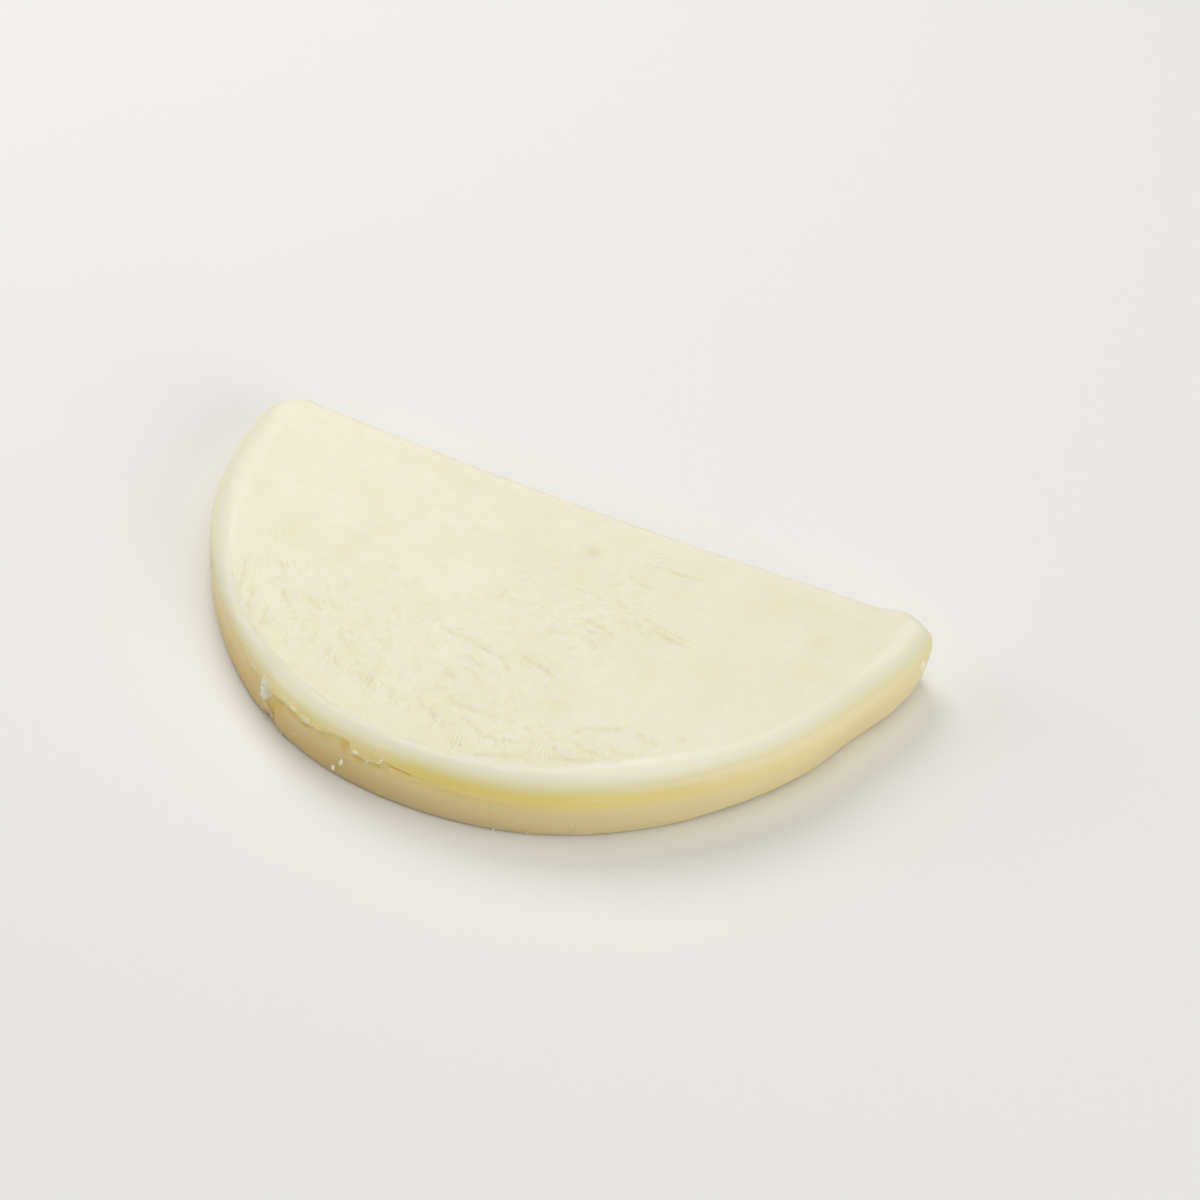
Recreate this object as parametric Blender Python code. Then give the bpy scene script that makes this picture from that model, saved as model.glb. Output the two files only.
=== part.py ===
"""A half-round of provolone cheese, about 16.8 cm long, 8.7 cm deep and 1.5 cm thick.

It is one solid piece of cheese: half of a thick round slice, cut straight across just beyond the middle of
the round. The flat bottom lies on z = 0, the straight cut faces +Y and the round side faces -Y. All the plan
shapes are worked out around the middle of the round, and the finished body is then moved so that the middle
of its box stands over the origin.
"""

import math

import bmesh
import bpy

NODE = "provolone_half_round"

# The round slice and the straight cut across it.
ARC_RADIUS = 0.0820
THICKNESS = 0.0153
CUT_SETBACK = 0.0021  # the cut runs this far behind the middle of the round
CUT_BOW = 0.0028  # and its two ends stand this much further back than its middle
LEFT_TIP = (0.0085, 0.0078)  # plan rounding of the left tip: along the cut, and forward from it
RIGHT_TIP = (0.0080, 0.0034)  # and of the right tip, which is more pointed
FOOT_ROUND = 0.0004  # the bottom edge is pressed slightly round
TOP_LENGTHENS = 0.018  # the top is this share longer than the bottom
TOP_NARROWS = 0.0074  # and this share less deep
TOP_LEANS = 0.0019  # the top stands this far towards +X, so the right wall is undercut
RIGHT_TIP_REACH = 0.0010  # the right tip reaches this much further than the round does
RIGHT_FOOT = 0.0013  # and its bottom this much more
WALL_BULGE = 0.0003

# Where the round isn't true: (direction in degrees, half width in degrees, how far the wall stands out).
WALL_UNEVEN = ((-133, 18, -0.0010), (-104, 12, 0.0004), (-67, 17, 0.0006), (-15, 8, -0.0008))

# The pressed rim: a soft shoulder between the wall and the flat top, with a faint lip on its inner edge.
SHOULDER_DROP = 0.0038
SHOULDER_WIDTH = 0.0043
SHOULDER_UNEVEN = ((-168, 22, 0.0030), (-118, 15, 0.0009), (-42, 16, -0.0016))  # as WALL_UNEVEN
SHOULDER_STEEPEST = 0.9  # a narrow shoulder drops no further than this share of its width
CUT_EDGE_WIDTH = 0.0009
TIP_EDGE_WIDTH = 0.0036
LIP_HEIGHT = 0.0002

# Torn seam on the front left wall: a lobe that overhangs the wall below it in a ledge, and a notch beside it.
SEAM_START, SEAM_FULL, SEAM_FADES, SEAM_END = (math.radians(a) for a in (-114, -111, -100, -66))
SEAM_HEIGHT = 0.0092
SEAM_WANDER = 0.0010
LOBE_STANDS_OUT = 0.0005
LOBE_LIP = 0.0012  # the height over which the lobe rounds back to the wall below
NOTCH_ANGLE = math.radians(-113)
NOTCH_DEPTH = 0.0013
NOTCH_HALF_WIDTH = 0.0016
NOTCH_HEIGHT = 0.0100

# Relief of the top: the mark of a fold, a small pit, and the slow waves of the pressed curd.
FOLD_START, FOLD_END = (-0.0420, -0.0417), (-0.0311, -0.0249)
FOLD_DEPTH, FOLD_HALF_WIDTH, FOLD_RUN_OUT = 0.0005, 0.0022, 0.0040
PIT, PIT_DEPTH, PIT_HALF_WIDTH = (0.0103, -0.0102), 0.0006, 0.0022
WAVE_HEIGHT = 0.00012
WAVE_TURN = (190.0, 150.0)  # radians per metre along and across the chord: a wave in 33 and 42 mm
TIP_FALL = 0.0006  # the top falls away this much towards each tip

# How finely each stretch is divided.
ARC_STEPS = 112
TIP_STEPS = 7
CUT_STEPS = 34
WALL_LEVELS = (0.0, 0.07, 0.22, 0.38, 0.54, 0.7, 0.85, 1.0)
SHOULDER_STEPS = 4
TOP_RINGS = (0.965, 0.92, 0.84, 0.74, 0.62, 0.48, 0.33)
TOP_MIDDLE = (0.0, -0.40 * ARC_RADIUS)

CHEESE_COLOUR = (0.83, 0.79, 0.60, 1.0)
CHEESE_ROUGHNESS = 0.42


def smooth(start, end, value):
    """0 before start, 1 after end, with a soft ramp between them."""
    t = min(max((value - start) / (end - start), 0.0), 1.0)
    return t * t * (3.0 - 2.0 * t)


def hill(value, middle, half_width):
    """A soft hump of height 1 at the middle."""
    return math.exp(-(((value - middle) / half_width) ** 2))


def cut_line(x):
    """How far back the straight cut runs at a place along the chord."""
    return CUT_SETBACK + CUT_BOW * (x / ARC_RADIUS) ** 2


def uneven(table, direction):
    """What a table of humps adds up to in one direction from the middle of the round."""
    degrees = math.degrees(direction)
    return sum(size * hill(degrees, middle, width) for middle, width, size in table)


def tip(side, length, depth):
    """The plan rounding of one tip: a quarter ellipse from the round side (turn 0) to the straight cut."""
    middle_y = cut_line(ARC_RADIUS) - depth
    middle_x = side * (math.sqrt(ARC_RADIUS**2 - middle_y**2) - length)
    for i in range(TIP_STEPS + 1):
        turn = math.pi / 2 * i / TIP_STEPS
        x, y = middle_x + side * length * math.cos(turn), middle_y + depth * math.sin(turn)
        facing = math.atan2(math.sin(turn) / depth, side * math.cos(turn) / length)
        yield x, y, facing, i / TIP_STEPS


def outline():
    """The plan outline at the bottom, counter-clockwise: (x, y, direction the wall faces, share of cut)."""
    left, right = list(tip(-1, *LEFT_TIP)), list(tip(1, *RIGHT_TIP))
    start, end = around(left[0][0], left[0][1]), around(right[0][0], right[0][1])
    points = []
    for i in range(1, ARC_STEPS):
        a = start + (end - start) * i / ARC_STEPS
        radius = ARC_RADIUS + uneven(WALL_UNEVEN, a)
        points.append((radius * math.cos(a), radius * math.sin(a), a, 0.0))
    points += right
    for i in range(1, CUT_STEPS):
        x = right[-1][0] + (left[-1][0] - right[-1][0]) * i / CUT_STEPS
        points.append((x, cut_line(x), math.pi / 2, 1.0))
    return points + left[::-1]


def around(x, y):
    """The direction of a place from the middle of the round, from -270 to +90 degrees in radians."""
    a = math.atan2(y, x)
    return a - 2.0 * math.pi if a > math.pi / 2 else a


def shoulder_width(direction, cut_share):
    """The shoulder is widest at the back left and narrowest at the front right, and thin along the cut."""
    width = SHOULDER_WIDTH + uneven(SHOULDER_UNEVEN, direction)
    plain = width * (1.0 - smooth(0.0, 0.6, cut_share)) + CUT_EDGE_WIDTH * smooth(0.0, 1.0, cut_share)
    return max(plain, TIP_EDGE_WIDTH * 4.0 * cut_share * (1.0 - cut_share))


def wall_relief(direction, height):
    """How far the wall stands out or in: the slight bulge, the lobe over the torn seam, and the notch."""
    share = height / (THICKNESS - SHOULDER_DROP)
    out = WALL_BULGE * 4.0 * share * (1.0 - share)
    along = smooth(SEAM_START, SEAM_FULL, direction) * (1.0 - smooth(SEAM_FADES, SEAM_END, direction))
    seam = SEAM_HEIGHT + SEAM_WANDER * math.sin(11.0 * direction) * math.cos(27.0 * direction)
    out += LOBE_STANDS_OUT * along * smooth(-LOBE_LIP, 0.0, height - seam)
    across = (direction - NOTCH_ANGLE) * ARC_RADIUS
    out -= NOTCH_DEPTH * hill(across, 0.0, NOTCH_HALF_WIDTH) * (1.0 - smooth(0.0, NOTCH_HEIGHT, height))
    return out


def wall_place(point, height):
    """Where the wall stands at one place of the outline and one height."""
    x, y, facing, cut_share = point
    share = height / (THICKNESS - SHOULDER_DROP)
    out = wall_relief(around(x, y), height) * (1.0 - cut_share)
    out -= FOOT_ROUND * (1.0 - smooth(0.0, 2.0 * FOOT_ROUND, height))
    px = x * (1.0 + TOP_LENGTHENS * share) + TOP_LEANS * share
    px += (RIGHT_TIP_REACH + RIGHT_FOOT * (1.0 - share)) * smooth(0.94 * ARC_RADIUS, ARC_RADIUS, x)
    py = y * (1.0 - TOP_NARROWS * share)
    return px + out * math.cos(facing), py + out * math.sin(facing)


def top_relief(x, y, depth_in):
    """The height of the top over its mean plane; depth_in is 0 at the rim and 1 in the middle."""
    along_x, along_y = WAVE_TURN
    waves = math.sin(x * along_x + math.sin(y * along_y)) * math.cos(y * along_y + math.sin(x * along_x / 3))
    (x0, y0), (x1, y1) = FOLD_START, FOLD_END
    length = math.hypot(x1 - x0, y1 - y0)
    along = ((x - x0) * (x1 - x0) + (y - y0) * (y1 - y0)) / length
    across = ((x - x0) * (y1 - y0) - (y - y0) * (x1 - x0)) / length
    ends = smooth(-FOLD_RUN_OUT, FOLD_RUN_OUT, along) * smooth(-FOLD_RUN_OUT, FOLD_RUN_OUT, length - along)
    fold = hill(across, 0.0, FOLD_HALF_WIDTH) * ends
    pit = hill(math.hypot(x - PIT[0], y - PIT[1]), 0.0, PIT_HALF_WIDTH)
    fall = TIP_FALL * smooth(0.75 * ARC_RADIUS, 1.02 * ARC_RADIUS, abs(x))
    lip = LIP_HEIGHT * (1.0 - smooth(0.0, 0.05, depth_in))
    return lip + WAVE_HEIGHT * waves * smooth(0.0, 0.1, depth_in) - FOLD_DEPTH * fold - PIT_DEPTH * pit - fall


def shoulder_ring(points, turn):
    """The ring of the shoulder at one angle of its round, from 0 at the wall to a quarter turn at the top."""
    ring = []
    for point in points:
        x, y, facing, cut_share = point
        px, py = wall_place(point, THICKNESS - SHOULDER_DROP)
        width = shoulder_width(around(x, y), cut_share)
        drop = min(SHOULDER_DROP, SHOULDER_STEEPEST * width)
        inset = width * (1.0 - math.cos(turn))
        qx, qy = px - inset * math.cos(facing), py - inset * math.sin(facing)
        rise = (SHOULDER_DROP - drop) + drop * math.sin(turn)
        top = top_relief(qx, qy, 0.0) * math.sin(turn)
        ring.append((qx, qy, THICKNESS - SHOULDER_DROP + rise + top))
    return ring


def rings():
    """All the rings of the body, from the flat bottom up the wall, over the shoulder and in over the top."""
    points = outline()
    stack = []
    for share in WALL_LEVELS[:-1]:
        height = share * (THICKNESS - SHOULDER_DROP)
        stack.append([(*wall_place(point, height), height) for point in points])
    for i in range(SHOULDER_STEPS + 1):
        stack.append(shoulder_ring(points, math.pi / 2 * i / SHOULDER_STEPS))
    rim = stack[-1]
    for scale in TOP_RINGS:
        ring = []
        for x, y, _ in rim:
            px = TOP_MIDDLE[0] + (x - TOP_MIDDLE[0]) * scale
            py = TOP_MIDDLE[1] + (y - TOP_MIDDLE[1]) * scale
            ring.append((px, py, THICKNESS + top_relief(px, py, 1.0 - scale)))
        stack.append(ring)
    return stack


def loft(stack):
    """One closed mesh: the bottom face is extruded from ring to ring, and the last face closes the top."""
    bm = bmesh.new()
    bottom = face = bm.faces.new([bm.verts.new(place) for place in stack[0]])
    for ring in stack[1:]:
        raised = bmesh.ops.extrude_face_region(bm, geom=[face])["geom"]
        if face is not bottom:
            bmesh.ops.delete(bm, geom=[face], context="FACES_ONLY")
        face = next(item for item in raised if isinstance(item, bmesh.types.BMFace))
        for vert, place in zip(face.verts, ring, strict=True):
            vert.co = place
    bmesh.ops.triangulate(bm, faces=[face], ngon_method="BEAUTY")
    bmesh.ops.recalc_face_normals(bm, faces=bm.faces)
    return bm


def stand_over_origin(bm):
    """Moves the body so that the middle of its box is over the origin and its bottom is on z = 0."""
    xs = [v.co.x for v in bm.verts]
    ys = [v.co.y for v in bm.verts]
    shift = (-(min(xs) + max(xs)) / 2, -(min(ys) + max(ys)) / 2, -min(v.co.z for v in bm.verts))
    bmesh.ops.translate(bm, verts=bm.verts, vec=shift)


def cheese_material():
    material = bpy.data.materials.new("provolone_paste")
    material.use_nodes = True
    shader = material.node_tree.nodes["Principled BSDF"]
    shader.inputs["Base Color"].default_value = CHEESE_COLOUR
    shader.inputs["Roughness"].default_value = CHEESE_ROUGHNESS
    shader.inputs["Metallic"].default_value = 0.0
    return material


def cheese():
    bm = loft(rings())
    stand_over_origin(bm)
    mesh = bpy.data.meshes.new(NODE)
    bm.to_mesh(mesh)
    bm.free()
    mesh.shade_smooth()
    mesh.set_sharp_from_angle(angle=math.radians(50))
    mesh.materials.append(cheese_material())
    body = bpy.data.objects.new(NODE, mesh)
    bpy.context.scene.collection.objects.link(body)


for old in list(bpy.data.objects):
    bpy.data.objects.remove(old)
cheese()
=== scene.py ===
# A thick half-round of provolone cheese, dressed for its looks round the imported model.
# It is one cut of paste with a few crumbs on its wall. Places on it are given in millimetres from the middle
# of its round edge, or as a direction round that middle in degrees, where -90 is the front.

import itertools
import math

import bpy
import numpy as np
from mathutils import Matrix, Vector


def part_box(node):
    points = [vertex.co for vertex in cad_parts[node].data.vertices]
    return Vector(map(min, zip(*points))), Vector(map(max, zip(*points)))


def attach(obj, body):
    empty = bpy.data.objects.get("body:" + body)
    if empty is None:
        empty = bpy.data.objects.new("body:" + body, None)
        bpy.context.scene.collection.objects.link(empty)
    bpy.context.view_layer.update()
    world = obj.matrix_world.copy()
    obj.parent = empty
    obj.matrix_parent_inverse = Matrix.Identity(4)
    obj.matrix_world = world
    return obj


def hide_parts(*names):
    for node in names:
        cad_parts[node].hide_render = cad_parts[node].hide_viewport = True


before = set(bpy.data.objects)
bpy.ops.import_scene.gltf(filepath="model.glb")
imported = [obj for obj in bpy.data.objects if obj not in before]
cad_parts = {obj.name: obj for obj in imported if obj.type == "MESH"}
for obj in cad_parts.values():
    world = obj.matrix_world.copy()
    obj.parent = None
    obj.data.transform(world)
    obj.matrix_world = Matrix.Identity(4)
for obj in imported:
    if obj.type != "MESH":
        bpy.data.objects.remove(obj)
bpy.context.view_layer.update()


# ---- The cheese ------------------------------------------------------------------------
# A half-round of provolone: one solid piece of pulled-curd paste, cast round, sliced thick and cut straight
# across. Its top skin is lightly wrinkled, the rim is pressed smooth and round, and the wall has a torn seam.

MM = .001
CHEESE_NODE = "provolone_half_round"
CHEESE_LOW, CHEESE_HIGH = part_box(CHEESE_NODE)
THICKNESS = CHEESE_HIGH.z - CHEESE_LOW.z
ARC_RADIUS = .082
ARC_LEFT_OF_BOX_MIDDLE = .00215
ARC_AHEAD_OF_BACK = .0049
ARC_MIDDLE = Vector((
    (CHEESE_LOW.x + CHEESE_HIGH.x) / 2 - ARC_LEFT_OF_BOX_MIDDLE,
    CHEESE_HIGH.y - ARC_AHEAD_OF_BACK,
    CHEESE_LOW.z,
))

# A round slice is cut across and its rim is rounded, all a little too large. Then it is shrunk onto the
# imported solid, whose uneven shape it takes up.
ROUGH_STEPS = 180
OVERSIZE = .0035
CUT_BEHIND_ARC = .0035
CUT_PLACE = CUT_BEHIND_ARC + OVERSIZE
ROUGH_RIM = .004
ROUGH_RIM_STEPS = 6
COARSE_GRAIN = .0008
FINE_GRAIN = .00064

bpy.ops.object.select_all(action="DESELECT")
bpy.ops.mesh.primitive_cylinder_add(
    vertices=ROUGH_STEPS,
    radius=ARC_RADIUS + OVERSIZE,
    depth=THICKNESS + OVERSIZE,
    location=ARC_MIDDLE + Vector((0, 0, THICKNESS / 2)),
)
cheese = bpy.context.object
cheese.name = "cheese"
bpy.ops.object.transform_apply(location=True, rotation=True, scale=True)
bpy.ops.object.mode_set(mode="EDIT")
bpy.ops.mesh.select_all(action="SELECT")
bpy.ops.mesh.bisect(
    plane_co=ARC_MIDDLE + Vector((0, CUT_PLACE, 0)),
    plane_no=(0, 1, 0),
    use_fill=True,
    clear_outer=True,
)
bpy.ops.mesh.select_all(action="DESELECT")
bpy.ops.object.mode_set(mode="OBJECT")
for edge in cheese.data.edges:
    ends = [cheese.data.vertices[v].co for v in edge.vertices]
    on_top = all(end.z > CHEESE_HIGH.z for end in ends)
    on_cut = all(end.y > ARC_MIDDLE.y + CUT_PLACE - .1 * MM for end in ends)
    edge.select = on_top and not on_cut
bpy.ops.object.mode_set(mode="EDIT")
bpy.ops.mesh.bevel(offset=ROUGH_RIM, segments=ROUGH_RIM_STEPS, affect="EDGES")
bpy.ops.object.mode_set(mode="OBJECT")


def apply_modifier(piece, kind, **settings):
    """Adds a modifier with these settings and applies it at once."""
    bpy.context.view_layer.objects.active = piece
    modifier = piece.modifiers.new(kind.lower(), kind)
    for name, value in settings.items():
        setattr(modifier, name, value)
    bpy.ops.object.modifier_apply(modifier=modifier.name)


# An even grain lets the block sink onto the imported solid, and a finer one carries the details of the skin.
apply_modifier(cheese, "REMESH", mode="VOXEL", voxel_size=COARSE_GRAIN)
apply_modifier(cheese, "SHRINKWRAP", target=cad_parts[CHEESE_NODE])
apply_modifier(cheese, "SMOOTH", factor=.5, iterations=4)
apply_modifier(cheese, "REMESH", mode="VOXEL", voxel_size=FINE_GRAIN)
apply_modifier(cheese, "SMOOTH", factor=.5, iterations=8)

# Places are measured from the middle of the round: x, y and height in millimetres, reach outwards, and turn
# round it in degrees, from TURN_LOW up.
TOP_HEIGHT = THICKNESS / MM
RADIUS = ARC_RADIUS / MM
WALL_DEGREE = math.radians(1) * RADIUS
TURN_LOW = -270


def read_vectors(collection, name):
    """One vector of each vertex or face of a mesh, as rows."""
    values = np.empty(len(collection) * 3)
    collection.foreach_get(name, values)
    return values.reshape(-1, 3)


def places(co):
    """x, y, height, reach and turn of points on the cheese."""
    x, y, height = ((co - ARC_MIDDLE) / MM).T
    return x, y, height, np.hypot(x, y), (np.degrees(np.arctan2(y, x)) - TURN_LOW) % 360 + TURN_LOW


def select_faces(chosen):
    """Selects these faces of the cheese alone, and leaves it in edit mode."""
    bpy.ops.object.mode_set(mode="EDIT")
    bpy.ops.mesh.select_mode(type="FACE")
    bpy.ops.mesh.select_all(action="DESELECT")
    bpy.ops.object.mode_set(mode="OBJECT")
    cheese.data.polygons.foreach_set("select", chosen)
    bpy.ops.object.mode_set(mode="EDIT")


def split_faces(chosen):
    """Halves the grain of these faces."""
    select_faces(chosen)
    bpy.ops.mesh.subdivide(number_cuts=1)
    bpy.ops.object.mode_set(mode="OBJECT")


def face_places():
    """x, y, height, reach, turn and upward facing of every face."""
    up = read_vectors(cheese.data.polygons, "normal")[:, 2]
    return *places(read_vectors(cheese.data.polygons, "center")), up


def between(value, low, high):
    """Whether each value lies between low and high."""
    return (value > low) & (value < high)


# The grain is halved where the skin is busy, and once more along the torn seam.
FACES_UP = .7
x, y, height, reach, turn, up = face_places()
front_skin = between(reach, 60, 78) & between(turn, -136, -52)
front_skin |= between(reach, 42, 61) & between(turn, -112, -62)
front_skin |= between(reach, 52, 61) & between(turn, -128, -100)
combed_skin = between(x, 13, 44) & between(y, -32, -4)
seam_wall = between(turn, -125, -76) & between(height, 4, 13.6)
notch_wall = between(turn, -117, -109) & (height < 5)
busy_top = (up > FACES_UP) & (front_skin | combed_skin)
busy_wall = between(up, -FACES_UP, FACES_UP) & (seam_wall | notch_wall)
split_faces(busy_top | busy_wall)
x, y, height, reach, turn, up = face_places()
split_faces(between(turn, -116.5, -85) & between(height, 7.5, 13) & (up < FACES_UP))

# The underside is flat and needs only a few faces.
FACES_DOWN = -.97
UNDERSIDE_KEPT = .04
x, y, height, reach, turn, up = face_places()
select_faces((up < FACES_DOWN) & (reach < RADIUS - 2.5) & (y < 1))
bpy.ops.mesh.decimate(ratio=UNDERSIDE_KEPT)
bpy.ops.object.mode_set(mode="OBJECT")

# The surface is worked point by point from here: each has a place, and a height that it is raised or sunk by.
point_count = len(cheese.data.vertices)
points = read_vectors(cheese.data.vertices, "co")
normals = read_vectors(cheese.data.vertex_normals, "vector")
x, y, height, reach, turn = places(points)
relief = np.zeros(point_count)


def step(value, start, end):
    """0 before start, 1 after end, and smooth between them."""
    share = np.clip((value - start) / (end - start), 0, 1)
    return share * share * (3 - 2 * share)


def hill(value, half_width):
    """1 in the middle, and near 0 beyond twice the half width."""
    return np.exp(-((value / half_width) ** 2))


def mottle(grain, seed, stretch=(1, 1, 1)):
    """Smooth random unevenness from -1 to 1, with patches of about grain millimetres."""
    cells = 32
    lattice = np.random.default_rng(seed).uniform(-1, 1, (cells, cells, cells))
    place = np.stack((x, y, height), axis=1) / (grain * np.array(stretch))
    corner = np.floor(place).astype(int)
    part = place - corner
    part = part * part * (3 - 2 * part)
    value = np.zeros(point_count)
    for side in itertools.product((0, 1), repeat=3):
        share = np.prod(np.where(side, part, 1 - part), axis=1)
        value += share * lattice[tuple(((corner + side) % cells).T)]
    return value


def flow(length, grain, seed):
    """Like mottle, but drawn out along the wall: patches of length round it and grain up it."""
    cells = 512
    first_row = 40
    lattice = np.random.default_rng(seed).uniform(-1, 1, (cells, cells))
    round_place = (turn - TURN_LOW) * WALL_DEGREE / length
    up_place = (height + 2 * (reach - RADIUS)) / grain + first_row
    value = np.zeros(point_count)
    for i, j in itertools.product((0, 1), repeat=2):
        across = np.floor(round_place).astype(int)
        up = np.floor(up_place).astype(int)
        a = step(round_place - across, 0, 1)
        b = step(up_place - up, 0, 1)
        share = (a if i else 1 - a) * (b if j else 1 - b)
        value += share * lattice[(across + i) % cells, (up + j) % cells]
    return value


# How far a point has climbed from the foot: up the wall, then in over the round rim.
RIM_CLIMB = .9
EDGE_WINDOW = 1.2
edge_turns = np.arange(-182, 3)
edge_reach = np.array([reach[np.abs(turn - edge) < EDGE_WINDOW].max(initial=0) for edge in edge_turns])
climb = height + RIM_CLIMB * (np.interp(turn, edge_turns, edge_reach) - reach)

# The rim's inner line, as (direction, share of the arc's radius), and how far inside it each point is.
RIM_LINE = (
    (-178, .880), (-160, .886), (-152, .896), (-146, .909), (-140, .932), (-133, .941), (-127, .945),
    (-118, .941), (-110, .942), (-95, .943), (-80, .945), (-70, .947), (-65, .946), (-59, .938), (-52, .932),
    (-46, .935), (-41, .944), (-32, .953), (-20, .957), (-5, .957),
)
rim_turns, rim_shares = zip(*RIM_LINE)
ragged = .35 * mottle(2.6, 11) + .22 * mottle(.9, 12)
inside_rim = RADIUS * np.interp(turn, rim_turns, rim_shares) - reach + ragged

# The straight cut lies further back at its tips than in its middle. How far in front of it each point is.
CUT_SETBACK = 2.1
CUT_BOW = 2.8
inside_cut = CUT_SETBACK + CUT_BOW * (x / RADIUS) ** 2 - y

# Which part of the skin a point belongs to, from 0 to 1, with soft borders.
facing_up = normals[:, 2]
on_cut = step(normals[:, 1], .45, .8) * step(-inside_cut, -2.5, -1)
on_base = step(-facing_up, .7, .9)
on_wall = step(-facing_up, -.55, -.12) * (1 - on_base) * (1 - on_cut)
on_top = step(facing_up, .86, .97) * step(height, TOP_HEIGHT - 2.5, TOP_HEIGHT - 1)
on_top *= step(inside_rim, -.4, .4)
above_wall = (1 - on_wall) * (1 - on_base) * (1 - on_cut)
on_rim = above_wall * (1 - on_top) * step(-inside_rim, -.6, .6)

# The top skin: slow swells, a fine unevenness, and a skin that stops at the rim's inner line with a low edge.
relief += on_top * (.09 * mottle(17, 1) + .035 * mottle(5, 2) + .012 * mottle(1.6, 3))
relief += .07 * step(inside_rim, -.25, .35) * above_wall
relief += on_top * .06 * hill(inside_rim - .55, .45)

# What is pressed into the top: creases, how busy the skin is round them, and combed lines, which are counted
# across each comb. The rival is the second strongest comb at a point, which blurs the first.
crease_shade = np.zeros(point_count)
busy = np.zeros(point_count)
comb_share = np.zeros(point_count)
comb_rival = np.zeros(point_count)
comb_count = np.zeros(point_count)


def stroke(path, half_width, across, up, reach_out=1.2):
    """Follows a path on a flat layout of the surface.

    Gives the points near it, a rounded profile that is 1 on the path and tapers at its ends, the same profile
    set off to the left of it, and the distance to it.
    """
    taper_share = .25
    bank_place = 1.7 * half_width
    path = np.array(path, float)
    low, high = path.min(0) - reach_out, path.max(0) + reach_out
    near = np.flatnonzero((across > low[0]) & (across < high[0]) & (up > low[1]) & (up < high[1]))
    lengths = np.hypot(*(path[1:] - path[:-1]).T)
    total = lengths.sum()
    closest = np.full(len(near), np.inf)
    side = np.zeros(len(near))
    along = np.zeros(len(near))
    passed = 0
    for start, end, length in zip(path[:-1], path[1:], lengths):
        ahead = (end - start) / length
        dx, dy = across[near] - start[0], up[near] - start[1]
        run = np.clip(dx * ahead[0] + dy * ahead[1], 0, length)
        distance = np.hypot(dx - run * ahead[0], dy - run * ahead[1])
        nearer = distance < closest
        closest[nearer] = distance[nearer]
        side[nearer] = (ahead[0] * dy - ahead[1] * dx)[nearer]
        along[nearer] = (passed + run)[nearer]
        passed += length
    taper = step(along, 0, taper_share * total) * step(total - along, 0, taper_share * total)
    signed = np.where(side < 0, -closest, closest)
    groove = hill(closest, half_width) * taper
    raised = hill(signed - bank_place, half_width) * taper
    return near, groove, raised, closest


on_top_points = np.flatnonzero(on_top > .02)
top_x, top_y = x[on_top_points], y[on_top_points]
patchy = (.8 + .55 * mottle(1.3, 13) + .3 * mottle(.6, 14))[on_top_points]
CREASE_LOOKOUT = 3.5
BUSY_WIDTH = 1.7


def crease(path, half_width, depth, tint, bank=.6):
    """Presses a crease into the top skin along a path of (x, y) points, with the skin pushed up beside it."""
    near, groove, raised, distance = stroke(path, half_width, top_x, top_y, CREASE_LOOKOUT)
    chosen = on_top_points[near]
    relief[chosen] += depth * (bank * raised - groove) * on_top[chosen]
    # The groove's darker yellow tint is painted shade.
    crease_shade[chosen] = np.maximum(crease_shade[chosen], tint * groove * patchy[near])
    busy[chosen] = np.maximum(busy[chosen], min(1, tint * 1.5) * hill(distance, BUSY_WIDTH))


COMB_RAGGEDNESS = 1.2
COMB_SOFT_END = .3
wobble = (.42 * mottle(2.2, 17) + .14 * mottle(.9, 18))[on_top_points]
patchy_comb = np.clip(mottle(1.7, 21) + .5 * mottle(.8, 22), -1, 1)


def lay_comb(chosen, count, share):
    """Sets combed lines on these points where they are the strongest. The count is whole on each line."""
    share = share * on_top[chosen] * (.85 + .5 * patchy_comb[chosen])
    comb_rival[chosen] = np.maximum(comb_rival[chosen], np.minimum(comb_share[chosen], share))
    stronger = share > comb_share[chosen]
    comb_share[chosen[stronger]] = share[stronger]
    comb_count[chosen[stronger]] = count[stronger]
    busy[chosen] = np.maximum(busy[chosen], .6 * share)


def comb(first, last, first_angle, last_angle, length, spacing, strength):
    """Combs short lines side by side, from the middle of the first line to the middle of the last.

    The lines fan out from the first angle to the last, so a point's own line is found in a few rounds.
    """
    run = np.array(last) - first
    width = np.hypot(*run)
    dx, dy = top_x - first[0], top_y - first[1]
    near = np.flatnonzero(np.hypot(dx - run[0] / 2, dy - run[1] / 2) < (width + length) / 2 + 1)
    dx, dy = dx[near], dy[near]
    angle = np.full(len(near), math.radians((first_angle + last_angle) / 2))
    for _ in range(3):
        across = (dx * np.sin(angle) - dy * np.cos(angle)) / (run[0] * np.sin(angle) - run[1] * np.cos(angle))
        angle = np.radians(first_angle + (last_angle - first_angle) * np.clip(across, 0, 1))
    along = (dx - run[0] * across) * np.cos(angle) + (dy - run[1] * across) * np.sin(angle)
    margin = spacing / width
    soft_side = -COMB_SOFT_END * margin
    share = step(across, -margin, soft_side) * step(1 - across, -margin, soft_side)
    ragged_half = length / 2 * (1 + COMB_RAGGEDNESS * wobble[near])
    share *= step(ragged_half - np.abs(along), 0, COMB_SOFT_END * length)
    count = across * width / spacing + wobble[near] + 1
    lay_comb(on_top_points[near], count, strength * share)
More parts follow.
